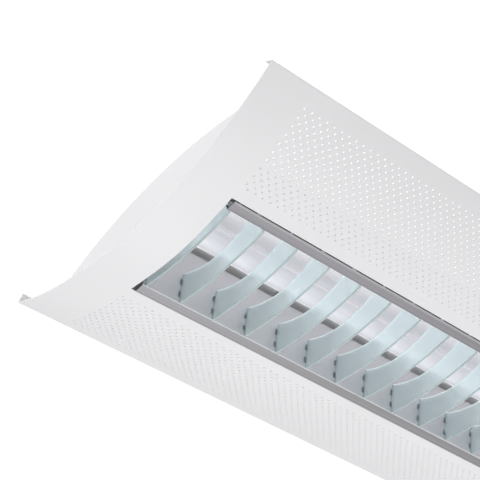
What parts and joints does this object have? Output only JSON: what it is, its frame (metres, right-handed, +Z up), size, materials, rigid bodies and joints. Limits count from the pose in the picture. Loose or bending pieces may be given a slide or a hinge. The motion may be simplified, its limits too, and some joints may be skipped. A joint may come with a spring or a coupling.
{
  "type": "suspended linear luminaire",
  "caption": "Suspended linear ceiling light for a tubular lamp, with curved perforated wings, a drop-down cross-blade louvre and wire grippers on top.",
  "frame": {"origin": "midway between the two suspension points, on the top face of their brackets", "axes": "+X along the luminaire, +Y across it to the rear side, away from the louvre's hinge, +Z up along the suspension wires"},
  "size_m": [1.308, 0.4, 0.1415],
  "materials": {
    "white_paint": "smooth satin white powder coat",
    "satin_aluminium": "satin anodised",
    "bright_aluminium": "semi-bright anodised",
    "frosted_blade": "frosted translucent acrylic with a pale green edge",
    "zinc_steel": "zinc plated",
    "gear_enamel": "matt enamel",
    "white_plastic": "moulded, slightly glossy",
    "grey_plastic": "moulded",
    "dark_plastic": "moulded magnet case",
    "brass": "plain",
    "nickel": "nickel plated, satin",
    "wire_white": "wire insulation",
    "wire_earth": "wire insulation",
    "lamp_glass": "clear glass with a white coating inside",
    "lamp_cap": "pressed aluminium"
  },
  "bodies": {
    "fixture": {"ballast": "gear_enamel", "bracket_nuts": "zinc_steel", "bracket_screws": "zinc_steel", "cable_gland": "grey_plastic", "catch_brackets": "zinc_steel", "catch_magnets": "dark_plastic", "earth_stud": "brass", "earth_wiring": "wire_earth", "end_brackets": "zinc_steel", "end_plate_left": "white_paint", "end_plate_right": "white_paint", "gear_channel": "white_paint", "gear_screws": "zinc_steel", "gear_tray": "white_paint", "gland_cap": "grey_plastic", "gland_nut": "grey_plastic", "gripper_bodies": "nickel", "gripper_caps": "nickel", "gripper_nuts": "zinc_steel", "hinge_sockets": "zinc_steel", "holder_contacts": "brass", "lamp_wiring": "wire_white", "lampholder_left": "white_plastic", "lampholder_right": "white_plastic", "release_spring_left": "zinc_steel", "release_spring_right": "zinc_steel", "supply_wiring": "wire_white", "suspension_brackets": "zinc_steel", "terminal_block": "white_plastic", "terminal_screws": "brass", "top_reflector": "bright_aluminium", "tray_hangers": "zinc_steel", "tray_screws": "zinc_steel", "wing_sheet": "white_paint", "wire_clips": "white_plastic"},
    "louvre": {"side_reflector_front": "satin_aluminium", "side_reflector_rear": "satin_aluminium", "cross_blades": "frosted_blade", "hinge_arms": "zinc_steel", "hinge_pins": "zinc_steel", "catch_strikes": "zinc_steel"},
    "lamp": {"lamp_tube": "lamp_glass", "lamp_cap_left": "lamp_cap", "lamp_cap_right": "lamp_cap", "lamp_pins": "brass", "rotor_left": "white_plastic", "rotor_right": "white_plastic"},
    "sleeve_left": {"release_sleeve_left": "nickel", "locking_balls_left": "nickel"},
    "sleeve_right": {"release_sleeve_right": "nickel", "locking_balls_right": "nickel"}
  },
  "joints": [
    {"name": "louvre_hinge", "type": "hinge", "parent": "fixture", "child": "louvre", "pos_m": [0, -0.069, -0.098], "axis": [-1, 0, 0], "range_deg": [0, 90]},
    {"name": "lamp_twist", "type": "hinge", "parent": "fixture", "child": "lamp", "pos_m": [0, 0, -0.0713], "axis": [1, 0, 0], "range_deg": [0, 90]},
    {"name": "left_wire_release", "type": "slide", "parent": "fixture", "child": "sleeve_left", "axis": [0, 0, -1], "range_m": [0, 0.003], "stiffness_N_per_m": 400, "springref_m": -0.005, "deforming": ["release_spring_left"]},
    {"name": "right_wire_release", "type": "slide", "parent": "fixture", "child": "sleeve_right", "axis": [0, 0, -1], "range_m": [0, 0.003], "stiffness_N_per_m": 400, "springref_m": -0.005, "deforming": ["release_spring_right"]}
  ]
}
